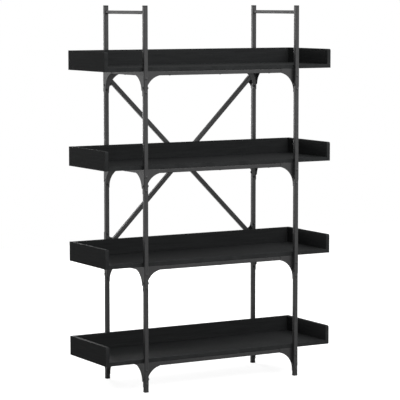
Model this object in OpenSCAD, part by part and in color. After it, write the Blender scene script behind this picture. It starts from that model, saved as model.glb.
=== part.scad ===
// Open bookcase: four shallow trays on a frame of square steel tube,
// braced across the back.  Millimetres, +Z up, front towards -Y.
// Origin: the centre of the footprint, on the floor.

/* [Overall] */
// Width of a tray, left to right
tray_w = 1000; // [900:10:1200]
// Depth of a tray, front to back
tray_d = 300; // [280:5:360]
// Height from the floor to the tops of the posts
total_h = 1455; // [1440:5:1600]

/* [Trays] */
// Height of the lowest tray's underside
first_tray_z = 111; // [105:1:125]
// Step from one tray up to the next
tray_pitch = 366.5; // [340:0.5:368]
// Height of the back and end boards, with the floor's thickness
rim_h = 74; // [60:1:90]
// Thickness of the boards
board_t = 15; // [15:1:18]
// Radius of the end boards' upper front corners
end_corner_r = 7; // [5:1:25]

/* [Tube frame] */
// Width of the square tube used for posts, rails and braces
tube_w = 16; // [15:1:18]
// Wall of the tubes
tube_wall = 1.2; // [1:0.1:2]
// Outer corner radius of the square tube
tube_r = 2.2; // [2.1:0.1:3.5]
// How far the trays reach past the middle of the posts at each end
overhang = 166; // [120:1:190]
// Diameter of the round crossbars at the top
crossbar_d = 13; // [10:0.5:15]
// Drop from the top of the posts to the middle of a crossbar
crossbar_drop = 26; // [15:1:40]

/* [Corner brackets] */
// Thickness of the bracket and brace plates
plate_t = 1.5; // [1.2:0.1:2.5]
// Radius of the curved edge below the long rails
wing_r = 70; // [60:1:72]
// Drop of the long wing's curve where it meets the post
wing_drop = 85; // [80:1:90]
// Reach of the long wing past the post
wing_reach = 56; // [40:1:58]
// Radius of the curved edge below the side rails
side_r = 62; // [50:1:64]
// Drop of the side wing beside the post
side_drop = 72; // [70:1:76]
// Reach of the side wing past the post
side_reach = 50; // [30:1:52]

/* [Brace] */
// Drop from the top tray's underside to the upper ends of the brace
brace_drop = 26; // [20:1:30]
// Depth of a brace plate's ear, from the end of the brace towards the middle
brace_ear_h = 38; // [34:1:40]
// Radius between the ear and the strip on the post
brace_fillet = 20; // [15:1:20]

/* [Feet and caps] */
// Visible height of a foot
foot_h = 7; // [4:1:10]
// Width of a foot
foot_w = 17; // [17:0.5:20]
// Visible height of a post cap
cap_h = 5; // [3:1:8]

/* [Fasteners] */
// Shank diameter of the frame bolts
bolt_d = 5; // [4:0.5:6]
// Diameter of the frame bolts' heads
head_d = 9; // [8:0.5:11]
// Height of the frame bolts' heads
head_h = 2.5; // [1.5:0.1:4]
// Shank diameter of the tray screws
screw_d = 4; // [3:0.5:4]
// Height of the tray screws' and brace screws' heads
pan_h = 1.2; // [1:0.1:3]
// Diameter of the wooden dowels
dowel_d = 8; // [6:1:8]

/* [Hidden] */
$fn = 48;

LEVELS = [1, 2, 3, 4];
SIDES = [["left", -1], ["right", 1]];
ENDS = [["front", -1], ["rear", 1]];

post_x = tray_w / 2 - overhang;
post_y = (tray_d + tube_w) / 2;
half_tube = tube_w / 2;
tray_x = tray_w / 2;
tray_y = tray_d / 2;
floor_x = tray_x - board_t;
rail_y = tray_y - plate_t - half_tube;
plug_w = tube_w - 2 * tube_wall - 0.2;
plug_l = 12;
hole_d = bolt_d + 0.4;
nut_h = 4;
bolt_end = 1;
top_tray_z = tray_z(4);

// Bolts below each tray: two through the post's front, one through its side
wing_bolts = [28, 80];
side_bolt = 61.5;
// A little of the side wing stays beside the post below its curve
side_strip = 5;
wing_behind = wing_drop + 7;

brace_top_z = top_tray_z - brace_drop;
brace_low_z = brace_top_z - 2 * post_x;
brace_mid_z = (brace_top_z + brace_low_z) / 2;
brace_gap = 1;
brace_bolt = wing_bolts[1] - brace_drop;
brace_strip_h = brace_bolt + 7;
brace_weld = 1.5;

rail_screws = [-220, 0, 220];
screw_bite = 10;
dowel_l = 30;
dowel_short = 10;
end_dowels = [-0.4 * tray_d, 0, 0.4 * tray_d];
back_dowels = [-350, -110, 110, 350];
back_dowel_z = 50;

black = [0.09, 0.09, 0.095];
frame_grey = [0.16, 0.16, 0.165];
rubber_black = [0.06, 0.06, 0.06];
zinc_black = [0.12, 0.12, 0.12];
beech = [0.75, 0.6, 0.4];

function tray_z(n) = first_tray_z + (n - 1) * tray_pitch;

// ---- Shared shapes ----

module rounded_square(w, r) {
    square([w - 2 * r, w], center = true);
    square([w, w - 2 * r], center = true);
    for (x = [-1, 1], y = [-1, 1])
        translate([x * (w / 2 - r), y * (w / 2 - r)]) circle(r);
}

module square_tube(length) {
    linear_extrude(length) difference() {
        rounded_square(tube_w, tube_r);
        rounded_square(tube_w - 2 * tube_wall, tube_r - tube_wall);
    }
}

// Puts a corner drawn for the front left post at any post.
// There +X and +Y run from the post towards the middle of the bookcase.
module at_corner(side, end) {
    translate([side * post_x, end * post_y, 0])
        mirror([side > 0 ? 1 : 0, 0, 0]) mirror([0, end > 0 ? 1 : 0, 0]) children();
}

module all_corners() {
    for (s = SIDES, e = ENDS) at_corner(s[1], e[1]) children();
}

module along_x() { rotate([0, 90, 0]) children(); }
module along_y() { rotate([-90, 0, 0]) children(); }

module y_hole(z, d) { translate([0, 0, z]) along_y() cylinder(d = d, h = 2 * tube_w, center = true); }
module x_hole(z, d) { translate([0, 0, z]) along_x() cylinder(d = d, h = 2 * tube_w, center = true); }

// ---- Posts, feet, caps and crossbars ----

module post(side, end) {
    color(frame_grey) at_corner(side, end) difference() {
        translate([0, 0, foot_h]) square_tube(total_h - foot_h - cap_h);
        for (n = LEVELS) {
            for (w = wing_bolts) y_hole(tray_z(n) - w, hole_d);
            x_hole(tray_z(n) - side_bolt, hole_d);
        }
        if (end > 0) {
            y_hole(brace_low_z + brace_bolt, hole_d);
            for (z = [brace_low_z - brace_bolt, brace_top_z + brace_bolt])
                translate([0, -tube_w, z]) along_y() cylinder(d = screw_d, h = tube_w);
        }
    }
}

module foot(side, end) {
    color(rubber_black) at_corner(side, end) {
        translate([0, 0, 1]) linear_extrude(foot_h - 1) rounded_square(foot_w, tube_r + 0.5);
        linear_extrude(1) rounded_square(foot_w - 2, tube_r);
        translate([0, 0, foot_h - 1]) linear_extrude(plug_l + 1) rounded_square(plug_w, 1);
    }
}

module post_caps() {
    color(rubber_black) all_corners() {
        translate([0, 0, total_h - 1]) linear_extrude(1) rounded_square(tube_w - 1.5, tube_r);
        translate([0, 0, total_h - cap_h]) linear_extrude(cap_h - 1) rounded_square(tube_w, tube_r);
        translate([0, 0, total_h - cap_h - plug_l])
            linear_extrude(plug_l + 1) rounded_square(plug_w, 1);
    }
}

module top_crossbar(side) {
    color(frame_grey) translate([side * post_x, 0, total_h - crossbar_drop]) along_y()
        difference() {
            cylinder(d = crossbar_d, h = tray_d, center = true);
            cylinder(d = crossbar_d - 2 * tube_wall, h = tray_d + 2, center = true);
        }
}

// ---- Rear brace ----

// A length of square tube in the plane of the rear posts, measured along its
// own axis from the crossing and cut off upright beside the posts
module brace_bar(lean, from, to) {
    color(frame_grey) intersection() {
        translate([0, post_y, brace_mid_z]) rotate([0, lean, 0])
            translate([0, 0, from]) square_tube(to - from);
        translate([0, post_y, brace_mid_z])
            cube([2 * (post_x - half_tube - brace_gap), 2 * tube_w, total_h], center = true);
    }
}

module brace_through() { brace_bar(45, -2 * post_x, 2 * post_x); }
module brace_half_upper() { brace_bar(-45, half_tube, 2 * post_x); }
module brace_half_lower() { brace_bar(-45, -2 * post_x, -half_tube); }

// A strip on the post, with an ear that lies behind the brace and is blended
// into the strip by a round fillet. The ear points down.
module brace_plate_outline() {
    ear_edge = half_tube * sqrt(2) - brace_weld;
    ear_r = 3;
    translate([-half_tube, -brace_strip_h]) square([tube_w, 2 * brace_strip_h]);
    offset(r = ear_r) offset(delta = -ear_r) polygon([
        [-half_tube, -brace_ear_h],
        [brace_ear_h + ear_edge, -brace_ear_h],
        [0, ear_edge],
        [-half_tube, ear_edge]
    ]);
    difference() {
        translate([0, -brace_ear_h - brace_fillet]) square([half_tube + brace_fillet, brace_fillet + 5]);
        translate([half_tube + brace_fillet, -brace_ear_h - brace_fillet]) circle(brace_fillet);
    }
}

// holes: the heights of the holes above the end of the brace
module brace_plate(side, z, way, holes) {
    color(frame_grey) at_corner(side, 1) translate([0, -half_tube, z]) difference() {
        scale([1, 1, way]) rotate([90, 0, 0]) linear_extrude(plate_t) brace_plate_outline();
        for (h = holes) y_hole(h[0], h[1]);
    }
}

module brace_plate_upper(side) {
    brace_plate(side, brace_top_z, 1, [
        [brace_bolt, screw_d],
        [brace_drop - wing_bolts[0], hole_d],
        [-brace_bolt, hole_d]
    ]);
}

module brace_plate_lower(side) {
    brace_plate(side, brace_low_z, -1, [[brace_bolt, hole_d], [-brace_bolt, screw_d]]);
}

// ---- Trays ----

module end_dowel_holes() {
    for (y = end_dowels) translate([0, y, board_t / 2]) along_x()
        cylinder(d = dowel_d, h = 2 * (dowel_l - dowel_short), center = true);
}

module tray_screw_holes() {
    tray_screw_places() cylinder(d = screw_d, h = 2 * screw_bite, center = true);
}

module tray_floor(n) {
    color(black) translate([0, 0, tray_z(n)]) difference() {
        translate([-floor_x, -tray_y, 0]) cube([2 * floor_x, tray_d - board_t, board_t]);
        for (s = [-1, 1]) translate([s * floor_x, 0, 0]) end_dowel_holes();
        for (x = back_dowels) translate([x, tray_y - board_t, board_t / 2]) along_y()
            cylinder(d = dowel_d, h = 2 * (dowel_l - dowel_short), center = true);
        tray_screw_holes();
    }
}

// The back stands behind the floor, down to its underside
module tray_back(n) {
    color(black) translate([0, 0, tray_z(n)]) difference() {
        translate([-floor_x, tray_y - board_t, 0]) cube([2 * floor_x, board_t, rim_h]);
        for (x = back_dowels) translate([x, tray_y - board_t, board_t / 2]) along_y()
            cylinder(d = dowel_d, h = 2 * dowel_short, center = true);
        for (s = [-1, 1]) translate([s * floor_x, tray_y - board_t / 2, back_dowel_z]) along_x()
            cylinder(d = dowel_d, h = 2 * (dowel_l - dowel_short), center = true);
        tray_screw_holes();
    }
}

module tray_end(n, side) {
    r = end_corner_r;
    color(black) translate([side * (floor_x + board_t / 2), 0, tray_z(n)]) difference() {
        translate([-board_t / 2, 0, 0]) rotate([90, 0, 90]) linear_extrude(board_t) {
            translate([-tray_y, 0]) square([tray_d, rim_h - r]);
            translate([r - tray_y, 0]) square([tray_d - r, rim_h]);
            translate([r - tray_y, rim_h - r]) circle(r);
        }
        translate([-side * board_t / 2, 0, 0]) {
            for (y = end_dowels) translate([0, y, board_t / 2]) along_x()
                cylinder(d = dowel_d, h = 2 * dowel_short, center = true);
            translate([0, tray_y - board_t / 2, back_dowel_z]) along_x()
                cylinder(d = dowel_d, h = 2 * dowel_short, center = true);
        }
    }
}

// ---- Rails below the trays ----

module tray_screw_places() {
    for (x = rail_screws, e = [-1, 1]) translate([x, e * rail_y, 0]) children();
    for (s = [-1, 1]) translate([s * post_x, 0, 0]) children();
}

module rail_holes() {
    tray_screw_places() translate([0, 0, -2 * tube_w]) cylinder(d = screw_d + 0.6, h = 3 * tube_w);
}

// Front or rear rail, from one bracket's side plate to the other's
module long_rail(n, end) {
    length = 2 * (post_x + half_tube);
    color(frame_grey) translate([0, 0, tray_z(n)]) difference() {
        translate([-length / 2, end * rail_y, -half_tube]) along_x() square_tube(length);
        rail_holes();
    }
}

// Left or right rail, butted between the long rails
module side_rail(n, side) {
    length = 2 * (rail_y - half_tube);
    color(frame_grey) translate([0, 0, tray_z(n)]) difference() {
        translate([side * post_x, -length / 2, -half_tube]) along_y() square_tube(length);
        rail_holes();
    }
}

// ---- Corner brackets ----

module wing_outline() {
    difference() {
        union() {
            translate([-half_tube - plate_t, -wing_behind]) square([tube_w + plate_t, wing_behind]);
            translate([-half_tube, -wing_drop]) square([tube_w + wing_reach, wing_drop]);
        }
        translate([half_tube + wing_r, -wing_drop]) circle(wing_r);
        for (w = wing_bolts) translate([0, -w]) circle(d = hole_d);
    }
}

module side_outline() {
    tip_r = 4;
    tip_x = half_tube + side_strip;
    difference() {
        translate([tube_r - half_tube, -side_drop])
            square([tube_w - tube_r + side_reach, side_drop]);
        translate([tip_x + side_r, -side_drop - 3]) circle(side_r);
        difference() {
            translate([tip_x - tip_r, -side_drop - 1]) square([2 * tip_r, tip_r + 1]);
            translate([tip_x - tip_r, tip_r - side_drop]) circle(tip_r);
        }
        translate([0, -side_bolt]) circle(d = hole_d);
    }
}

// Two plates at a right angle: one between post and long rail, one outside both
module corner_bracket() {
    translate([0, half_tube + plate_t, 0]) rotate([90, 0, 0])
        linear_extrude(plate_t) wing_outline();
    translate([-half_tube - plate_t, 0, 0]) rotate([90, 0, 90])
        linear_extrude(plate_t) side_outline();
}

module corner_brackets(n) {
    color(frame_grey) translate([0, 0, tray_z(n)]) all_corners() corner_bracket();
}

// ---- Fasteners ----

// Button head at the origin pointing up, shank down
module bolt(grip) {
    dome_r = 6.5;
    difference() {
        intersection() {
            cylinder(d = head_d, h = head_h);
            translate([0, 0, head_h - dome_r]) sphere(dome_r);
        }
        translate([0, 0, head_h - 1.3]) cylinder(d = 3.5, h = 2, $fn = 6);
    }
    translate([0, 0, -grip - nut_h - bolt_end]) cylinder(d = bolt_d, h = grip + nut_h + bolt_end);
}

module nut(grip) {
    translate([0, 0, -grip - nut_h]) difference() {
        cylinder(d = 9.2, h = nut_h, $fn = 6);
        translate([0, 0, -1]) cylinder(d = bolt_d, h = nut_h + 2);
    }
}

// Heads face away from the middle: forwards or backwards, and sideways.
// grip is what the bolt clamps, lift what lies between its head and the post.
module y_bolt(z, grip, lift, as_nut) {
    translate([0, -half_tube - lift, z]) rotate([90, 0, 0])
        if (as_nut) nut(grip); else bolt(grip);
}

module side_bolt_at(z, as_nut) {
    translate([-half_tube - plate_t, 0, z]) rotate([0, -90, 0])
        if (as_nut) nut(tube_w + plate_t); else bolt(tube_w + plate_t);
}

// The upper brace plates share the top tray's rear bolts
module fasteners(as_nut) {
    for (s = SIDES, e = ENDS, n = LEVELS) at_corner(s[1], e[1]) {
        lift = e[1] > 0 && n == 4 ? plate_t : 0;
        for (w = wing_bolts) y_bolt(tray_z(n) - w, tube_w + plate_t + lift, lift, as_nut);
        side_bolt_at(tray_z(n) - side_bolt, as_nut);
    }
    for (s = SIDES) at_corner(s[1], 1)
        y_bolt(brace_low_z + brace_bolt, tube_w + plate_t, plate_t, as_nut);
}

module frame_bolts() { color(zinc_black) fasteners(false); }
module frame_nuts() { color(zinc_black) fasteners(true); }

module pan_screw(length) {
    cylinder(d = 2 * screw_d, h = pan_h);
    translate([0, 0, -length]) cylinder(d = screw_d, h = length);
}

module brace_screws() {
    color(zinc_black) for (s = SIDES, z = [brace_top_z + brace_bolt, brace_low_z - brace_bolt])
        at_corner(s[1], 1) translate([0, -half_tube - plate_t, z]) rotate([90, 0, 0]) pan_screw(8);
}

module tray_screws() {
    color(zinc_black) for (n = LEVELS) translate([0, 0, tray_z(n) - tube_w])
        tray_screw_places() mirror([0, 0, 1]) pan_screw(tube_w + screw_bite);
}

module board_dowels() {
    middle = dowel_l / 2 - dowel_short;
    color(beech) for (n = LEVELS) translate([0, 0, tray_z(n)]) {
        for (s = [-1, 1]) translate([s * (floor_x - middle), 0, 0]) {
            for (y = end_dowels) translate([0, y, board_t / 2]) along_x()
                cylinder(d = dowel_d, h = dowel_l, center = true);
            translate([0, tray_y - board_t / 2, back_dowel_z]) along_x()
                cylinder(d = dowel_d, h = dowel_l, center = true);
        }
        for (x = back_dowels) translate([x, tray_y - board_t - middle, board_t / 2]) along_y()
            cylinder(d = dowel_d, h = dowel_l, center = true);
    }
}

// ---- Nodes ----

for (e = ENDS, s = SIDES) {
    post(s[1], e[1]);
    foot(s[1], e[1]);
}
post_caps();
for (s = SIDES) {
    top_crossbar(s[1]);
    brace_plate_upper(s[1]);
    brace_plate_lower(s[1]);
}
brace_through();
brace_half_upper();
brace_half_lower();
for (n = LEVELS) {
    tray_floor(n);
    tray_back(n);
    for (s = SIDES) {
        tray_end(n, s[1]);
        side_rail(n, s[1]);
    }
    for (e = ENDS)
        long_rail(n, e[1]);
    corner_brackets(n);
}
frame_bolts();
frame_nuts();
brace_screws();
tray_screws();
board_dowels();
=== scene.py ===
import math

import bmesh
import bpy
from mathutils import Matrix, Vector


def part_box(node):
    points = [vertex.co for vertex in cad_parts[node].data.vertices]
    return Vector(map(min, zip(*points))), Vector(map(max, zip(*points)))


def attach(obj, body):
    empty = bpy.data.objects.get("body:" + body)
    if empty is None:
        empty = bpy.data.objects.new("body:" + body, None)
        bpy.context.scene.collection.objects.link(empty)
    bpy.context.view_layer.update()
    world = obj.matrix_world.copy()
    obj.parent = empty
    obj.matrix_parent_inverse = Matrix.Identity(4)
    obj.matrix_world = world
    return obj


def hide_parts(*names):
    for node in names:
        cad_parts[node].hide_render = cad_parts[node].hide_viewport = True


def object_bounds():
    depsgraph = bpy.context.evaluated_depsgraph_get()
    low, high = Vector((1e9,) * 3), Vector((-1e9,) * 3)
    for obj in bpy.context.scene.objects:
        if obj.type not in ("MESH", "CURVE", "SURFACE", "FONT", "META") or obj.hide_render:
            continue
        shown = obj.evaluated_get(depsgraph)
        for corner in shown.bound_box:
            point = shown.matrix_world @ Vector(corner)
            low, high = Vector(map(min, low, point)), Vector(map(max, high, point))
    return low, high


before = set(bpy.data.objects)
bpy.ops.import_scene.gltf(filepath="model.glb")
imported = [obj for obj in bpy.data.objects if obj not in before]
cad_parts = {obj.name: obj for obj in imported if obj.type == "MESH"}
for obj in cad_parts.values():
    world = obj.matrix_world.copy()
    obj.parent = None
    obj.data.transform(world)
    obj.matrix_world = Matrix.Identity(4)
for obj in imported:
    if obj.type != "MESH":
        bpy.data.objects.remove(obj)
scene = bpy.context.scene


def plain_box(box):
    return [[round(value, 6) for value in point] for point in box]


cad_box = plain_box(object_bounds())

# ---------------------------------------------------------------- Posts
# Four uprights of thin-walled square steel tube with drawn, rounded corners.
# They are cut square, drilled for the tray bolts and powder-coated black,
# with a faint orange-peel texture.

MM = 0.001
ENDS = {"front": -1, "rear": 1}
SIDES = {"left": -1, "right": 1}
LEVELS = (1, 2, 3, 4)

post_low, post_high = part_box("post_front_left")
tube_w = post_high.x - post_low.x
tube_r = 2.2 * MM
tube_wall = 1.2 * MM
half_tube = tube_w / 2
smooth_below = math.radians(38)


def move(x=0.0, y=0.0, z=0.0):
    return Matrix.Translation((x, y, z))


def turn(degrees, axis):
    return Matrix.Rotation(math.radians(degrees), 4, axis)


def principled(name, colour, roughness, specular=0.5, metallic=0.0):
    """A material with its Principled shader's plain values set, and its Object coordinates."""
    material = bpy.data.materials.new(name)
    material.use_nodes = True
    tree = material.node_tree
    shader = tree.nodes["Principled BSDF"]
    shader.inputs["Base Color"].default_value = (*colour, 1)
    shader.inputs["Roughness"].default_value = roughness
    shader.inputs["Specular IOR Level"].default_value = specular
    shader.inputs["Metallic"].default_value = metallic
    place = tree.nodes.new("ShaderNodeTexCoord").outputs["Object"]
    return material, tree, shader, place


def stretched(tree, place, scale):
    """The same coordinates, scaled apart along each axis, for grain and pores."""
    mapping = tree.nodes.new("ShaderNodeMapping")
    mapping.inputs["Scale"].default_value = scale
    tree.links.new(place, mapping.inputs["Vector"])
    return mapping.outputs["Vector"]


def noise(tree, place, scale, detail=2.0, rough=0.5):
    """Soft random mottling; a larger scale is finer."""
    texture = tree.nodes.new("ShaderNodeTexNoise")
    texture.inputs["Scale"].default_value = scale
    texture.inputs["Detail"].default_value = detail
    texture.inputs["Roughness"].default_value = rough
    tree.links.new(place, texture.inputs["Vector"])
    return texture.outputs["Fac"]


def remap(tree, value, low, high, socket, span=(0.3, 0.7)):
    """Spreads a noise between two values and feeds a shader socket with it."""
    node = tree.nodes.new("ShaderNodeMapRange")
    node.inputs["From Min"].default_value, node.inputs["From Max"].default_value = span
    node.inputs["To Min"].default_value = low
    node.inputs["To Max"].default_value = high
    tree.links.new(value, node.inputs["Value"])
    tree.links.new(node.outputs["Result"], socket)


def tint(tree, value, dark, light, socket, span=(0.3, 0.7)):
    """Runs a colour from dark to light as a noise goes across its span."""
    ramp = tree.nodes.new("ShaderNodeValToRGB")
    for element, at, colour in zip(ramp.color_ramp.elements, span, (dark, light)):
        element.position = at
        element.color = (*colour, 1)
    tree.links.new(value, ramp.inputs["Fac"])
    tree.links.new(ramp.outputs["Color"], socket)


def bumps(tree, shader, *layers):
    """Raises the surface by each (height, strength, depth) in turn."""
    below = None
    for height, strength, depth in layers:
        node = tree.nodes.new("ShaderNodeBump")
        node.inputs["Strength"].default_value = strength
        node.inputs["Distance"].default_value = depth
        tree.links.new(height, node.inputs["Height"])
        if below:
            tree.links.new(below, node.inputs["Normal"])
        below = node.outputs["Normal"]
    tree.links.new(below, shader.inputs["Normal"])


def powder_coat():
    """Satin black, faintly patchy, with fine grit and orange peel."""
    material, tree, shader, place = principled("powder_coat", (0.012, 0.012, 0.0125), 0.3)
    patches = noise(tree, place, 45, detail=3)
    tint(tree, patches, (0.010, 0.010, 0.0105), (0.016, 0.016, 0.0165), shader.inputs["Base Color"])
    grit = noise(tree, place, 2400, detail=3, rough=0.6)
    remap(tree, grit, 0.24, 0.38, shader.inputs["Roughness"])
    peel = noise(tree, place, 650)
    bumps(tree, shader, (peel, 0.16, 0.4 * MM), (grit, 0.12, 0.12 * MM))
    return material


def finish_piece(name, bm, materials, slot, *nodes):
    """Turns a mesh into a shaded piece of the bookcase that stands for those CAD nodes."""
    bmesh.ops.recalc_face_normals(bm, faces=bm.faces)
    mesh = bpy.data.meshes.new(name)
    bm.to_mesh(mesh)
    bm.free()
    mesh.shade_smooth()
    mesh.set_sharp_from_angle(angle=smooth_below)
    for material in materials:
        mesh.materials.append(material)
    piece = bpy.data.objects.new(name, mesh)
    scene.collection.objects.link(piece)
    weighted = piece.modifiers.new("even_normals", "WEIGHTED_NORMAL")
    weighted.keep_sharp = True
    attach(piece, "root")
    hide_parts(*nodes)


def square_tube(bm, length, matrix):
    """Open-ended square tube from the origin along +Z, then put in place."""
    before = set(bm.verts)
    flat = bmesh.ops.create_grid(bm, x_segments=1, y_segments=1, size=half_tube)["verts"]
    bmesh.ops.bevel(bm, geom=flat, affect="VERTICES", offset=tube_r, segments=6, profile=0.5,
                    material=-1)
    core = next(f for f in bm.faces if not set(f.verts) & before)
    rim = bmesh.ops.inset_region(bm, faces=[core], thickness=tube_wall, use_even_offset=True,
                                 use_boundary=True)["faces"]
    bmesh.ops.delete(bm, geom=[core], context="FACES_ONLY")
    raised = bmesh.ops.extrude_face_region(bm, geom=rim)["geom"]
    bmesh.ops.translate(bm, vec=(0, 0, length),
                        verts=[v for v in raised if isinstance(v, bmesh.types.BMVert)])
    new = [v for v in bm.verts if v not in before]
    bmesh.ops.transform(bm, matrix=matrix, verts=new)


coat = powder_coat()
post_places = {}
for end, end_sign in ENDS.items():
    for side, side_sign in SIDES.items():
        node = f"post_{end}_{side}"
        low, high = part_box(node)
        middle = (low + high) / 2
        post_places[side_sign, end_sign] = middle
        bm = bmesh.new()
        square_tube(bm, high.z - low.z, move(middle.x, middle.y, low.z))
        finish_piece(f"upright_{end}_{side}", bm, [coat], "powder_coat", node)

# ---------------------------------------------------------------- Feet and caps
# Moulded black plastic, pushed into the open ends of the posts. The foot has a
# collar wider than the tube that keeps the metal off the floor; the cap has a
# low crowned head the size of the tube.

plug_length = 12 * MM
plug_play = 0.1 * MM
plug_w = tube_w - 2 * (tube_wall + plug_play)
plug_r = 1 * MM
plug_ease = 0.4 * MM
mould_gap = 0.05 * MM
collar_r = 3 * MM
collar_ease = 1 * MM
crown = 1.2 * MM
sharp_turn = 1.2


def moulded_plastic():
    """Matt black with a fine spark-eroded grain."""
    material, tree, shader, place = principled("moulded_plastic", (0.012, 0.012, 0.012), 0.5, 0.4)
    grain = noise(tree, place, 1800, detail=4, rough=0.7)
    cloud = noise(tree, place, 90)
    tint(tree, cloud, (0.010, 0.010, 0.010), (0.016, 0.016, 0.016), shader.inputs["Base Color"])
    remap(tree, cloud, 0.45, 0.6, shader.inputs["Roughness"])
    bumps(tree, shader, (grain, 0.3, 0.1 * MM))
    return material


def rounded_block(bm, width, low, high, corner_radius, ease):
    """An upright square block with rounded corners and eased top and bottom edges."""
    size = Matrix.Diagonal((width, width, high - low, 1))
    block = bmesh.ops.create_cube(bm, size=1, matrix=move(z=(low + high) / 2) @ size)["verts"]
    upright = {e for v in block for e in v.link_edges
               if abs(e.verts[0].co.z - e.verts[1].co.z) > ease}
    rounded = bmesh.ops.bevel(bm, geom=list(upright), affect="EDGES", offset=corner_radius, segments=5,
                              profile=0.5, material=-1)["verts"]
    ends = {e for v in rounded for e in v.link_edges if e.calc_face_angle(0) > sharp_turn}
    bmesh.ops.bevel(bm, geom=list(ends), affect="EDGES", offset=ease, segments=3, profile=0.5,
                    material=-1)


plastic = moulded_plastic()
for end, end_sign in ENDS.items():
    for side, side_sign in SIDES.items():
        node = f"foot_{end}_{side}"
        low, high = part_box(node)
        post = post_places[side_sign, end_sign]
        bm = bmesh.new()
        collar_top = high.z - plug_length
        rounded_block(bm, high.x - low.x, low.z, collar_top, collar_r, collar_ease)
        rounded_block(bm, plug_w, collar_top + mould_gap, high.z, plug_r, plug_ease)
        bmesh.ops.translate(bm, verts=bm.verts, vec=(post.x, post.y, 0))
        finish_piece(f"floor_foot_{end}_{side}", bm, [plastic], "black_plastic", node)


def stamp(bm, draw, *spots):
    """Draws something once on its own, then adds a copy of it at each spot."""
    single = bmesh.new()
    draw(single)
    shape = bpy.data.meshes.new("single")
    single.to_mesh(shape)
    single.free()
    for spot in spots:
        count = len(bm.verts)
        bm.from_mesh(shape)
        bm.verts.ensure_lookup_table()
        bmesh.ops.transform(bm, matrix=spot, verts=bm.verts[count:])
    bpy.data.meshes.remove(shape)


def cap(bm):
    """A crowned head over a plug, in the open top of the tube."""
    rounded_block(bm, tube_w, cap_seat, cap_high.z, tube_r, crown)
    rounded_block(bm, plug_w, cap_low.z, cap_seat - mould_gap, plug_r, plug_ease)


cap_low, cap_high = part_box("post_caps")
cap_seat = post_high.z
bm = bmesh.new()
stamp(bm, cap, *(move(post.x, post.y) for post in post_places.values()))
finish_piece("end_caps", bm, [plastic], "black_plastic", "post_caps")

# ---------------------------------------------------------------- Top crossbars
# A round tube between the front and rear post at each side, near the top. It is
# cut square, butted against the posts' flat faces and welded all round, which
# leaves a small rippled bead at each end.

bead_r = 1.3 * MM
bead_pitch = 1.6 * MM
ripple = 0.14
hair = 1e-6


def weld_ring(bm, radius, matrix):
    """A rippled bead round a tube of that radius, about the Z axis, then put in place."""
    before = set(bm.verts)
    steps = 2 * round(math.pi * radius / bead_pitch)
    ring = bmesh.ops.create_circle(bm, segments=8, radius=bead_r,
                                   matrix=move(radius, 0, 0) @ turn(90, "X"))["verts"]
    edges = {e for v in ring for e in v.link_edges}
    bmesh.ops.spin(bm, geom=list(edges), cent=(0, 0, 0), axis=(0, 0, 1), angle=math.tau,
                   steps=2 * steps, use_merge=True)
    new = [v for v in bm.verts if v not in before]
    for v in new:
        angle = math.atan2(v.co.y, v.co.x)
        heart = Vector((radius * math.cos(angle), radius * math.sin(angle), 0))
        v.co = heart + (v.co - heart) * (1 - ripple + ripple * math.cos(steps * angle))
    bmesh.ops.transform(bm, matrix=matrix, verts=new)


def lathe(bm, profile, steps=24, closed=False):
    """Spins a profile of (radius, height) points about the Z axis and returns what is new."""
    before = set(bm.verts)
    points = [bm.verts.new((r, 0, z)) for r, z in profile]
    pairs = list(zip(points, points[1:])) + ([(points[-1], points[0])] if closed else [])
    edges = [bm.edges.new(pair) for pair in pairs]
    bmesh.ops.spin(bm, geom=edges, cent=(0, 0, 0), axis=(0, 0, 1), angle=math.tau, steps=steps,
                   use_merge=True)
    poles = [v for v in bm.verts if v not in before and v.co.xy.length < hair]
    bmesh.ops.remove_doubles(bm, verts=poles, dist=hair)
    return [v for v in bm.verts if v not in before]


def round_tube(bm, radius, wall, length, matrix):
    """Open-ended round tube about the Z axis, centred on the origin, then put in place."""
    half = length / 2
    new = lathe(bm, [(radius, -half), (radius, half), (radius - wall, half), (radius - wall, -half)],
                steps=40, closed=True)
    bmesh.ops.transform(bm, matrix=matrix, verts=new)


for side in SIDES:
    node = f"top_crossbar_{side}"
    low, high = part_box(node)
    middle = (low + high) / 2
    bar_r = (high.x - low.x) / 2
    across = move(*middle) @ turn(90, "X")
    bm = bmesh.new()
    round_tube(bm, bar_r, tube_wall, high.y - low.y, across)
    for y in (low.y, high.y):
        weld_ring(bm, bar_r, move(middle.x, y, middle.z) @ turn(90, "X"))
    finish_piece(f"crossbar_{side}", bm, [coat], "powder_coat", node)

# ---------------------------------------------------------------- Rails
# Under every tray a rectangle of the same square tube carries the boards. The
# long rails run the whole way between the side plates, and the side rails butt
# against them, welded on the inside corner and underneath.

bead_tip = 0.45
bead_swell = 6
ripple_steps = 4


def weld_line(bm, start, finish):
    """A straight rippled bead with tapered ends between two points."""
    run = Vector(finish) - Vector(start)
    ripples = round(run.length / bead_pitch)
    steps = ripple_steps * ripples
    profile = [(0, 0)]
    for step in range(steps + 1):
        along = step / steps
        size = bead_r * (1 - ripple + ripple * math.cos(math.tau * ripples * along))
        taper = min(1, bead_tip + bead_swell * min(along, 1 - along))
        profile.append((size * taper, along * run.length))
    new = lathe(bm, profile + [(0, run.length)], steps=8)
    place = move(*start) @ run.to_track_quat("Z", "Y").to_matrix().to_4x4()
    bmesh.ops.transform(bm, matrix=place, verts=new)


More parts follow.
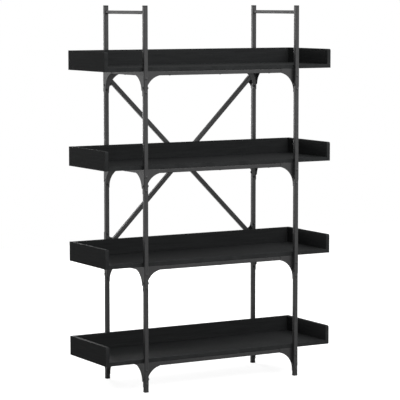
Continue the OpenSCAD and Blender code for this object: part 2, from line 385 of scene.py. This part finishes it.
for level in LEVELS:
    for end in ENDS:
        node = f"rail_{level}_{end}"
        low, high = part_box(node)
        middle = (low + high) / 2
        bm = bmesh.new()
        square_tube(bm, high.x - low.x, move(low.x, middle.y, middle.z) @ turn(90, "Y"))
        finish_piece(f"long_rail_{level}_{end}", bm, [coat], "powder_coat", node)
    for side, side_sign in SIDES.items():
        node = f"rail_{level}_{side}"
        low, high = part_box(node)
        middle = (low + high) / 2
        inner_x = middle.x - side_sign * half_tube
        bm = bmesh.new()
        square_tube(bm, high.y - low.y, move(middle.x, low.y, middle.z) @ turn(-90, "X"))
        for y in (low.y, high.y):
            weld_line(bm, (inner_x, y, low.z + tube_r), (inner_x, y, high.z - tube_r))
            weld_line(bm, (low.x + tube_r, y, low.z), (high.x - tube_r, y, low.z))
        finish_piece(f"side_rail_{level}_{side}", bm, [coat], "powder_coat", node)

# ---------------------------------------------------------------- Corner brackets
# Laser-cut steel plates welded at a right angle. The long wing sits between the
# post and the long rail, the side wing covers the outsides of both, and each
# has a quarter-round lower edge with its arrises eased.

plate_t = 1.5 * MM
wing_r = 70 * MM
wing_drop = 85 * MM
wing_behind = 92 * MM
wing_reach = 56 * MM
side_r = 62 * MM
side_drop = 72 * MM
side_reach = 50 * MM
side_strip = 5 * MM
side_heart = side_drop + 3 * MM
tip_r = 4 * MM
arris = 0.35 * MM
curve_steps = 20
tip_steps = 5


def arc(bm, centre, start, degrees, steps):
    """Vertices in order along an arc in the XY plane, made by spinning the first one."""
    first = bm.verts.new((*start, 0))
    bmesh.ops.spin(bm, geom=[first], cent=(*centre, 0), axis=(0, 0, 1),
                   angle=math.radians(degrees), steps=steps)
    points = [first]
    onward = [first.link_edges[0].other_vert(first)]
    while onward:
        points.append(onward[0])
        onward = [e.other_vert(points[-1]) for e in points[-1].link_edges]
        onward = [v for v in onward if v not in points]
    return points


def plate(bm, outline, thickness, matrix):
    """Fills an outline of vertices in the XY plane, thickens it along +Z and eases its edges."""
    face = bm.faces.new(outline)
    raised = bmesh.ops.extrude_face_region(bm, geom=[face])["geom"]
    top = [v for v in raised if isinstance(v, bmesh.types.BMVert)]
    bmesh.ops.translate(bm, verts=top, vec=(0, 0, thickness))
    new = set(outline) | set(top)
    rims = {e for v in new for e in v.link_edges if e.calc_face_angle(0) > sharp_turn}
    eased = bmesh.ops.bevel(bm, geom=list(rims), affect="EDGES", offset=arris, segments=2,
                            profile=0.5, material=-1, clamp_overlap=True)["verts"]
    new = {v for v in new if v.is_valid} | set(eased)
    bmesh.ops.transform(bm, matrix=matrix, verts=list(new))


def at_corner(side_sign, end_sign, z):
    """Puts what is drawn for the front left post at another one, at a tray's height."""
    post = post_places[side_sign, end_sign]
    return move(post.x, post.y, z) @ Matrix.Diagonal((-side_sign, -end_sign, 1, 1))


def long_wing(bm):
    """Seen from the front: X runs towards the middle, Y is up, 0 is the tray's underside."""
    reach = half_tube + wing_reach
    heart = (half_tube + wing_r, -wing_drop)
    swing = math.degrees(math.acos((wing_r - wing_reach) / wing_r))
    curve = arc(bm, heart, (half_tube, -wing_drop), -swing, curve_steps)
    rest = [bm.verts.new((x, y, 0)) for x, y in (
        (reach, 0), (-half_tube, 0), (-half_tube, -wing_behind), (half_tube, -wing_behind))]
    plate(bm, curve + rest, plate_t, move(y=half_tube + plate_t) @ turn(90, "X"))


def side_wing(bm):
    """Seen from the side: X runs towards the back, Y is up, 0 is the tray's underside."""
    front = tube_r - half_tube
    tip_z = tip_r - side_drop
    heart = Vector((half_tube + side_strip + side_r, -side_heart))
    low = math.asin((tip_z - heart.y) / side_r)
    high = math.acos(1 - (side_reach - side_strip) / side_r)
    start = heart + side_r * Vector((-math.cos(low), math.sin(low)))
    curve = arc(bm, heart, start, -math.degrees(high - low), curve_steps)
    top = [bm.verts.new((x, 0, 0)) for x in (half_tube + side_reach, front)]
    foot = arc(bm, (front + tip_r, tip_z), (front, tip_z), 90, tip_steps)
    toe = arc(bm, (start.x - tip_r, tip_z), (start.x - tip_r, -side_drop), 90, tip_steps)
    bm.verts.remove(toe.pop())
    plate(bm, curve + top + foot + toe, plate_t,
          move(x=-half_tube - plate_t) @ turn(90, "Z") @ turn(90, "X"))


tray_heights = {level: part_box(f"tray_{level}_floor")[0].z for level in LEVELS}
for level, z in tray_heights.items():
    bm = bmesh.new()
    for wing in (long_wing, side_wing):
        stamp(bm, wing, *(at_corner(*signs, z) for signs in post_places))
    finish_piece(f"tray_brackets_{level}", bm, [coat], "powder_coat", f"corner_brackets_{level}")

# ---------------------------------------------------------------- Rear brace
# A cross of square tube in the plane of the rear posts. One bar runs through;
# the other is two halves welded to its sides. Each end is cut upright beside
# the post and welded to a flat plate that is bolted to the post's rear face.

brace_low, brace_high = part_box("brace_through")
brace_heart = (brace_low + brace_high) / 2
brace_side = brace_high.x
rear_x = abs(post_places[1, 1].x)
slant = half_tube * math.sqrt(2)
ear_edge = slant - 1.5 * MM
ear_weld = (12 * MM, 40 * MM)
inner_weld = (9 * MM, 23 * MM)


def brace_bar(bm, lean, start, finish):
    """Tube along a leaning line through the crossing, cut upright where it passes the posts."""
    square_tube(bm, finish - start, move(*brace_heart) @ turn(lean, "Y") @ move(z=start))
    for side_sign in SIDES.values():
        cut = bmesh.ops.bisect_plane(
            bm, geom=bm.verts[:] + bm.edges[:] + bm.faces[:], dist=hair,
            plane_co=(side_sign * brace_side, 0, 0), plane_no=(side_sign, 0, 0), clear_outer=True)
        ends = [e for e in cut["geom_cut"] if isinstance(e, bmesh.types.BMEdge)]
        if ends:
            bmesh.ops.bridge_loops(bm, edges=ends)


def brace_welds(bm, side_sign, up_sign):
    """Beads on a bar's rear face: along the plate's slanting edge and the bar's inner edge."""
    for rise, reach in ((ear_edge, ear_weld), (-slant, inner_weld)):
        line = [Vector((side_sign * (rear_x - x), brace_high.y,
                        brace_heart.z + up_sign * (rear_x - x + rise))) for x in reach]
        weld_line(bm, *line)


def crossing_welds(bm, up_sign):
    """Beads across the front and back where a half bar meets the through bar."""
    across = Vector((1, 0, 1)).normalized() * (half_tube - tube_r)
    seam = brace_heart + up_sign * half_tube * Vector((-1, 0, 1)).normalized()
    for y in (brace_low.y, brace_high.y):
        middle = Vector((seam.x, y, seam.z))
        weld_line(bm, middle - across, middle + across)


bm = bmesh.new()
brace_bar(bm, 45, -2 * rear_x, 2 * rear_x)
brace_welds(bm, 1, 1)
brace_welds(bm, -1, -1)
finish_piece("brace_long_bar", bm, [coat], "powder_coat", "brace_through")

bm = bmesh.new()
brace_bar(bm, -45, half_tube, 2 * rear_x)
brace_welds(bm, -1, 1)
crossing_welds(bm, 1)
finish_piece("brace_upper_half", bm, [coat], "powder_coat", "brace_half_upper")

bm = bmesh.new()
brace_bar(bm, -45, -2 * rear_x, -half_tube)
brace_welds(bm, 1, -1)
crossing_welds(bm, -1)
finish_piece("brace_lower_half", bm, [coat], "powder_coat", "brace_half_lower")

fillet_r = 20 * MM
fillet_steps = 10
ear_r = 3 * MM
ear_depth = 38 * MM
ear_steps = 8


def brace_plate(bm, strip_half):
    """A strip on the post with an ear behind the bar, blended into it by a round fillet."""
    bend = half_tube + fillet_r
    low = -ear_depth - fillet_r
    tip = ear_depth + ear_edge - ear_r * (1 + math.sqrt(2))
    outline = [bm.verts.new((x, y, 0)) for x, y in (
        (half_tube, strip_half), (-half_tube, strip_half), (-half_tube, -strip_half),
        (half_tube, -strip_half))]
    outline += arc(bm, (bend, low), (half_tube, low), -90, fillet_steps)
    outline += arc(bm, (tip, ear_r - ear_depth), (tip, -ear_depth), 135, ear_steps)
    outline.append(bm.verts.new((half_tube, ear_edge - half_tube, 0)))
    plate(bm, outline, plate_t, turn(90, "X"))


for height, up_sign in (("upper", 1), ("lower", -1)):
    for side, side_sign in SIDES.items():
        node = f"brace_plate_{height}_{side}"
        low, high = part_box(node)
        middle = (low + high) / 2
        bm = bmesh.new()
        brace_plate(bm, (high.z - low.z) / 2)
        bmesh.ops.transform(bm, verts=bm.verts, matrix=move(side_sign * rear_x, high.y, middle.z)
                            @ Matrix.Diagonal((-side_sign, 1, up_sign, 1)))
        finish_piece(f"brace_anchor_{height}_{side}", bm, [coat], "powder_coat", node)

# ---------------------------------------------------------------- Trays
# Each tray is four chipboard panels faced in black laminate with a fine embossed
# grain, and banded on every visible edge: a floor, a back that stands behind it,
# and two ends whose upper front corners are rounded.

board_edge = 0.6 * MM
corner_r = 7 * MM
cool_cast = (1, 1.04, 1.06)
edge_facing = 0.9


def black_laminate(name, lightness, grain, roughness, pore_depth):
    """Near-black with an embossed figure; grain is the figure's scale along X, Y and Z."""
    dark, light = ([lightness * shade * cast for cast in cool_cast] for shade in (0.8, 1.2))
    material, tree, shader, place = principled(name, dark, roughness, 0.02)
    along = stretched(tree, place, grain)
    figure = noise(tree, along, 1.0, detail=5, rough=0.6)
    tint(tree, figure, dark, light, shader.inputs["Base Color"])
    pores = noise(tree, along, 6.0, detail=4, rough=0.7)
    remap(tree, pores, roughness - 0.06, roughness + 0.08, shader.inputs["Roughness"])
    skin = noise(tree, place, 900, detail=2)
    bumps(tree, shader, (pores, 0.35, pore_depth), (skin, 0.1, 0.1 * MM))
    return material


laminate = {
    "X": black_laminate("laminate_along_tray", 0.0145, (9, 220, 220), 0.52, 0.25 * MM),
    # The end boards carry the same laminate as the floor and back, set darker here: painted shade for
    # their side faces, which get less light.
    "Y": black_laminate("laminate_across_tray_painted_shade", 0.0118, (220, 9, 220), 0.52, 0.25 * MM),
}
banding = black_laminate("edge_banding", 0.0165, (30, 30, 30), 0.45, 0.08 * MM)


def board(bm, low, high, thin, round_front=0.0):
    """A panel that fills a box; thin is the index of its thin axis."""
    size = Matrix.Diagonal((*(high - low), 1))
    bmesh.ops.create_cube(bm, size=1, matrix=move(*((low + high) / 2)) @ size)
    if round_front:
        nose = [e for e in bm.edges
                if all(v.co.y < low.y + board_edge and v.co.z > high.z - board_edge for v in e.verts)]
        bmesh.ops.bevel(bm, geom=nose, affect="EDGES", offset=round_front, segments=14,
                        profile=0.5, material=-1)
    sharp = [e for e in bm.edges if e.calc_face_angle(0) > sharp_turn]
    bmesh.ops.bevel(bm, geom=sharp, affect="EDGES", offset=board_edge, segments=3, profile=0.5,
                    material=-1)
    bm.normal_update()
    for face in bm.faces:
        face.material_index = int(abs(face.normal[thin]) < edge_facing)


for level in LEVELS:
    for part, thin in (("floor", 2), ("back", 1)):
        node = f"tray_{level}_{part}"
        bm = bmesh.new()
        board(bm, *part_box(node), thin)
        finish_piece(f"{part}_board_{level}", bm, [laminate["X"], banding], "black_board", node)
    # End boards take the darker laminate, whose extra darkness is painted shade.
    for side in SIDES:
        node = f"tray_{level}_end_{side}"
        bm = bmesh.new()
        board(bm, *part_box(node), 0, corner_r)
        finish_piece(f"end_board_{level}_{side}", bm, [laminate["Y"], banding], "black_board", node)

# ---------------------------------------------------------------- Frame bolts
# Blackened steel button-head bolts with hexagon sockets, and chamfered hexagon
# nuts behind them. Two go through each post from the front or back and one from
# the side at every bracket, and one more holds the foot of each lower brace plate.

head_r = 4.5 * MM
head_h = 2.5 * MM
dome_r = 6.5 * MM
dome_steps = 5
socket_r = 1.75 * MM
socket_rim = 1.15 * socket_r
socket_lip = 0.3 * MM
socket_depth = 1.3 * MM
shank_r = 2.5 * MM
shank_ease = 0.4 * MM
nut_h = 4 * MM
nut_r = 4.6 * MM
nut_face_r = 0.84 * nut_r
nut_chamfer = 0.6 * MM
bolt_end = 1 * MM
wing_bolts = (28 * MM, 80 * MM)
side_bolt = 61.5 * MM


def blackened_steel():
    """Oiled black oxide, a little stained."""
    material, tree, shader, place = principled("blackened_steel", (0.015, 0.015, 0.0155), 0.35, 0.35)
    stain = noise(tree, place, 500, detail=3)
    tint(tree, stain, (0.01, 0.01, 0.0105), (0.02, 0.02, 0.0205), shader.inputs["Base Color"])
    remap(tree, stain, 0.28, 0.42, shader.inputs["Roughness"])
    fine = noise(tree, place, 3000)
    bumps(tree, shader, (fine, 0.1, 0.05 * MM))
    return material


def at_radius(verts, radius):
    """Those of the points that are that far from the Z axis."""
    return [v for v in verts if abs(v.co.xy.length - radius) < hair]


def hexagonal(verts):
    """Pulls points on a circle in to the hexagon that fits inside it."""
    for v in verts:
        angle = math.degrees(math.atan2(v.co.y, v.co.x)) % 60 - 30
        v.co.xy *= math.cos(math.radians(30)) / math.cos(math.radians(angle))


def bolt(bm, grip):
    """Head up, with its underside at the origin."""
    length = grip + nut_h + bolt_end
    floor_z = head_h - socket_depth
    spread = (head_r - socket_rim) / dome_steps
    dome = [socket_rim + spread * step for step in range(dome_steps + 1)]
    profile = [(0, floor_z), (socket_r, floor_z), (socket_r, head_h - socket_lip)]
    profile += [(r, head_h - dome_r + math.sqrt(dome_r ** 2 - r ** 2)) for r in dome]
    profile += [(head_r, 0), (shank_r, 0), (shank_r, shank_ease - length)]
    profile += [(shank_r - shank_ease, -length), (0, -length)]
    hexagonal(at_radius(lathe(bm, profile), socket_r))


def nut(bm, grip):
    """On the far side of what a bolt clamps."""
    low, high = -grip - nut_h, -grip
    profile = [(shank_r, low), (shank_r, high), (nut_face_r, high), (nut_r, high - nut_chamfer),
               (nut_r, low + nut_chamfer), (nut_face_r, low)]
    hexagonal(at_radius(lathe(bm, profile, closed=True), nut_r))


upper_plate = sum(end.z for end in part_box("brace_plate_upper_left")) / 2
lower_plate = sum(end.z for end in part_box("brace_plate_lower_left")) / 2
brace_bolt = upper_plate - (tray_heights[4] - wing_bolts[1])
lower_brace_bolt = lower_plate + brace_bolt

facing_out = turn(90, "X")
thin_grip = tube_w + plate_t
bolt_spots = {thin_grip: [], thin_grip + plate_t: []}
for (side_sign, end_sign), post in post_places.items():
    for level, z in tray_heights.items():
        lift = plate_t if end_sign > 0 and level == LEVELS[-1] else 0
        for drop in wing_bolts:
            bolt_spots[thin_grip + lift].append(at_corner(side_sign, end_sign, z - drop)
                                                @ move(y=-half_tube - lift) @ facing_out)
        bolt_spots[thin_grip].append(at_corner(side_sign, end_sign, z - side_bolt)
                                     @ move(x=-half_tube - plate_t) @ turn(-90, "Y"))
    if end_sign > 0:
        bolt_spots[thin_grip].append(at_corner(side_sign, end_sign, lower_brace_bolt)
                                     @ move(y=-half_tube - plate_t) @ facing_out)

black_steel = blackened_steel()
bolts = bmesh.new()
nuts = bmesh.new()
for grip, spots in bolt_spots.items():
    stamp(bolts, lambda bm: bolt(bm, grip), *spots)
    stamp(nuts, lambda bm: nut(bm, grip), *spots)
finish_piece("button_head_bolts", bolts, [black_steel], "black_bolts", "frame_bolts")
finish_piece("hexagon_nuts", nuts, [black_steel], "black_bolts", "frame_nuts")

# ---------------------------------------------------------------- Screws and dowels
# Cross-recessed pan-head screws hold the boards down through the rails, and the
# outer end of each brace plate to its post. Inside the boards, fluted beech
# dowels line up and hold the glued joints.

screw_r = 2 * MM
screw_point = 3 * MM
pan_r = 2 * screw_r
pan_h = 1.2 * MM
recess_r = 1.9 * MM
recess_foot_r = 0.5 * recess_r
cross_waist = 0.4


def pan_screw(bm, length):
    """Head up, with its underside at the origin, and a pointed shank."""
    profile = [(0, pan_h * 0.35), (recess_foot_r, pan_h * 0.45), (recess_r, pan_h)]
    profile += [(pan_r * 0.8, pan_h * 0.95), (pan_r * 0.96, pan_h * 0.6), (pan_r, 0)]
    profile += [(screw_r, 0), (screw_r, screw_point - length), (0, -length)]
    new = lathe(bm, profile)
    for v in at_radius(new, recess_r) + at_radius(new, recess_foot_r):
        angle = math.atan2(v.co.y, v.co.x)
        v.co.xy *= cross_waist + (1 - cross_waist) * abs(math.cos(2 * angle)) ** 3


rail_screws = (-220 * MM, 0, 220 * MM)
screw_bite = 10 * MM
plate_screw = 8 * MM
long_rail_y = sum(end.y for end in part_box("rail_1_rear")) / 2
spots = [(x, end_sign * long_rail_y) for x in rail_screws for end_sign in ENDS.values()]
spots += [(side_sign * rear_x, 0) for side_sign in SIDES.values()]
bm = bmesh.new()
stamp(bm, lambda bm: pan_screw(bm, tube_w + screw_bite),
      *(move(x, y, z - tube_w) @ turn(180, "X") for x, y in spots for z in tray_heights.values()))
finish_piece("tray_fixing_screws", bm, [black_steel], "black_bolts", "tray_screws")

bm = bmesh.new()
stamp(bm, lambda bm: pan_screw(bm, plate_screw),
      *(at_corner(side_sign, 1, z) @ move(y=-half_tube - plate_t) @ facing_out
        for side_sign in SIDES.values() for z in (upper_plate + brace_bolt, lower_plate - brace_bolt)))
finish_piece("brace_fixing_screws", bm, [black_steel], "black_bolts", "brace_screws")


def beech():
    """Pale, close-grained wood with its rays along Z."""
    material, tree, shader, place = principled("beech", (0.62, 0.45, 0.28), 0.6, 0.4)
    rays = noise(tree, stretched(tree, place, (900, 900, 120)), 1.0, detail=4)
    tint(tree, rays, (0.5, 0.34, 0.2), (0.68, 0.5, 0.32), shader.inputs["Base Color"])
    remap(tree, rays, 0.5, 0.7, shader.inputs["Roughness"])
    bumps(tree, shader, (rays, 0.3, 0.1 * MM))
    return material


dowel_r = 4 * MM
dowel_l = 30 * MM
dowel_short = 10 * MM
dowel_ease = 0.8 * MM
flutes = 24
flute_depth = 0.05
end_dowels = (0.8, 0, -0.8)
back_dowels = (-350 * MM, -110 * MM, 110 * MM, 350 * MM)
end_dowel_z = 50 * MM


def dowel(bm):
    """Along the Z axis, centred on the origin, with eased ends and shallow flutes."""
    half = dowel_l / 2
    profile = [(0, -half), (dowel_r - dowel_ease, -half), (dowel_r, dowel_ease - half),
               (dowel_r, half - dowel_ease), (dowel_r - dowel_ease, half), (0, half)]
    new = lathe(bm, profile, steps=flutes)
    for v in at_radius(new, dowel_r):
        flute = round(math.atan2(v.co.y, v.co.x) / math.tau * flutes) % 2
        v.co.xy *= 1 - flute_depth * flute


spots = []
centre = dowel_l / 2 - dowel_short
for level, z in tray_heights.items():
    low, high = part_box(f"tray_{level}_floor")
    back_low, back_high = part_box(f"tray_{level}_back")
    board_z = (low.z + high.z) / 2
    for side_sign in SIDES.values():
        end_x = side_sign * (high.x - centre)
        spots += [move(end_x, share * low.y, board_z) @ turn(90, "Y") for share in end_dowels]
        spots.append(move(end_x, (back_low.y + back_high.y) / 2, z + end_dowel_z) @ turn(90, "Y"))
    spots += [move(x, high.y - centre, board_z) @ turn(90, "X") for x in back_dowels]
bm = bmesh.new()
stamp(bm, dowel, *spots)
finish_piece("joint_dowels", bm, [beech()], "dowel_wood", "board_dowels")

# ---------------------------------------------------------------- Studio
# A pale floor under a dome of plain soft daylight, brightest high at the front right
# and in a broad panel behind on the left that draws out the tubes' edges. Three
# softboxes help at the front, the back and the right. The camera sees the dome white.

lamp_distance = 3.5
floor_half = 4.0
floor_lift = 0.82
dome_base = 0.14
camera_tilt = 5.84
camera_heading = -30.09


def dome_direction(azimuth, elevation):
    """Azimuth counts from +X towards +Y."""
    flat = math.cos(math.radians(elevation))
    return Vector((flat * math.cos(math.radians(azimuth)), flat * math.sin(math.radians(azimuth)),
                   math.sin(math.radians(elevation))))


def glow(tree, place, towards, inner, outer, strength):
    """A round soft patch of the dome: full strength inside one angle, gone outside another."""
    facing = tree.nodes.new("ShaderNodeVectorMath")
    facing.operation = "DOT_PRODUCT"
    facing.inputs[1].default_value = towards
    tree.links.new(place, facing.inputs[0])
    fade = tree.nodes.new("ShaderNodeMapRange")
    fade.interpolation_type = "SMOOTHSTEP"
    fade.inputs["From Min"].default_value = math.cos(math.radians(outer))
    fade.inputs["From Max"].default_value = math.cos(math.radians(inner))
    fade.inputs["To Max"].default_value = strength
    tree.links.new(facing.outputs["Value"], fade.inputs["Value"])
    return fade.outputs["Result"]


def plus(tree, first, second):
    """Adds two patches of light."""
    total = tree.nodes.new("ShaderNodeMath")
    tree.links.new(first, total.inputs[0])
    tree.links.new(second, total.inputs[1])
    return total.outputs["Value"]


def brightened(tree, value, amount):
    """Adds the same light everywhere."""
    total = tree.nodes.new("ShaderNodeMath")
    total.inputs[1].default_value = amount
    tree.links.new(value, total.inputs[0])
    return total.outputs["Value"]


def scaled(tree, value, factor):
    product = tree.nodes.new("ShaderNodeMath")
    product.operation = "MULTIPLY"
    product.inputs[1].default_value = factor
    tree.links.new(value, product.inputs[0])
    return product.outputs["Value"]


def camera_ray(tree):
    """1 for what the camera sees directly, 0 for what lights the bookcase."""
    return tree.nodes.new("ShaderNodeLightPath").outputs["Is Camera Ray"]


world = bpy.data.worlds.new("daylight_dome")
scene.world = world
world.use_nodes = True
tree = world.node_tree
place = tree.nodes.new("ShaderNodeTexCoord").outputs["Generated"]
key = glow(tree, place, dome_direction(-65, 35), inner=55, outer=95, strength=1.08)
rim = glow(tree, place, dome_direction(122, 0), inner=25, outer=50, strength=1.0)
overhead = glow(tree, place, dome_direction(80, 70), inner=30, outer=70, strength=0.2)
left = glow(tree, place, dome_direction(-150, 10), inner=20, outer=70, strength=0.35)
light = brightened(tree, key, dome_base)
for patch in (rim, overhead, left):
    light = plus(tree, light, patch)
seen = tree.nodes.new("ShaderNodeMix")
seen.inputs["B"].default_value = 1.0
tree.links.new(camera_ray(tree), seen.inputs["Factor"])
tree.links.new(light, seen.inputs["A"])
tree.links.new(seen.outputs["Result"], tree.nodes["Background"].inputs["Strength"])
tree.nodes["Background"].inputs["Color"].default_value = (1, 1, 1, 1)


def softbox(name, azimuth, elevation, width, height, power):
    """A rectangular lamp at a distance from the middle of the bookcase, turned towards it."""
    lamp = bpy.data.lights.new(name, "AREA")
    lamp.shape = "RECTANGLE"
    lamp.size = width
    lamp.size_y = height
    lamp.energy = power
    towards = dome_direction(azimuth, elevation)
    box = bpy.data.objects.new(name, lamp)
    box.location = Vector((0, 0, cad_box[1][2] / 2)) + lamp_distance * towards
    box.rotation_euler = towards.to_track_quat("Z", "Y").to_euler()
    box.visible_camera = False
    scene.collection.objects.link(box)


softbox("front_softbox", azimuth=-72, elevation=42, width=3.0, height=2.0, power=95)
softbox("rear_softbox", azimuth=88, elevation=5, width=1.6, height=1.2, power=80)
softbox("right_softbox", azimuth=0, elevation=32, width=1.6, height=1.2, power=45)

bm = bmesh.new()
bmesh.ops.create_grid(bm, x_segments=4, y_segments=4, size=floor_half)
mesh = bpy.data.meshes.new("studio_floor")
bm.to_mesh(mesh)
bm.free()
floor = bpy.data.objects.new("studio_floor", mesh)
scene.collection.objects.link(floor)
paint, tree, shader, place = principled("floor_paint", (0.35, 0.35, 0.35), 0.8, 0.1)
tint(tree, noise(tree, place, 3, detail=3), (0.345, 0.345, 0.345), (0.355, 0.355, 0.355),
     shader.inputs["Base Color"])
shader.inputs["Emission Color"].default_value = (1, 1, 1, 1)
tree.links.new(scaled(tree, camera_ray(tree), floor_lift), shader.inputs["Emission Strength"])
mesh.materials.append(paint)

camera_data = bpy.data.cameras.new("camera")
camera_data.lens = 174.45
camera_data.sensor_width = 36
camera_data.clip_end = 2000
camera = bpy.data.objects.new("camera", camera_data)
camera.location = (-3.7744, -6.5019, 1.4687)
camera.rotation_euler = (math.radians(90 - camera_tilt), 0, math.radians(camera_heading))
scene.collection.objects.link(camera)
scene.camera = camera
scene.view_settings.view_transform = "Standard"
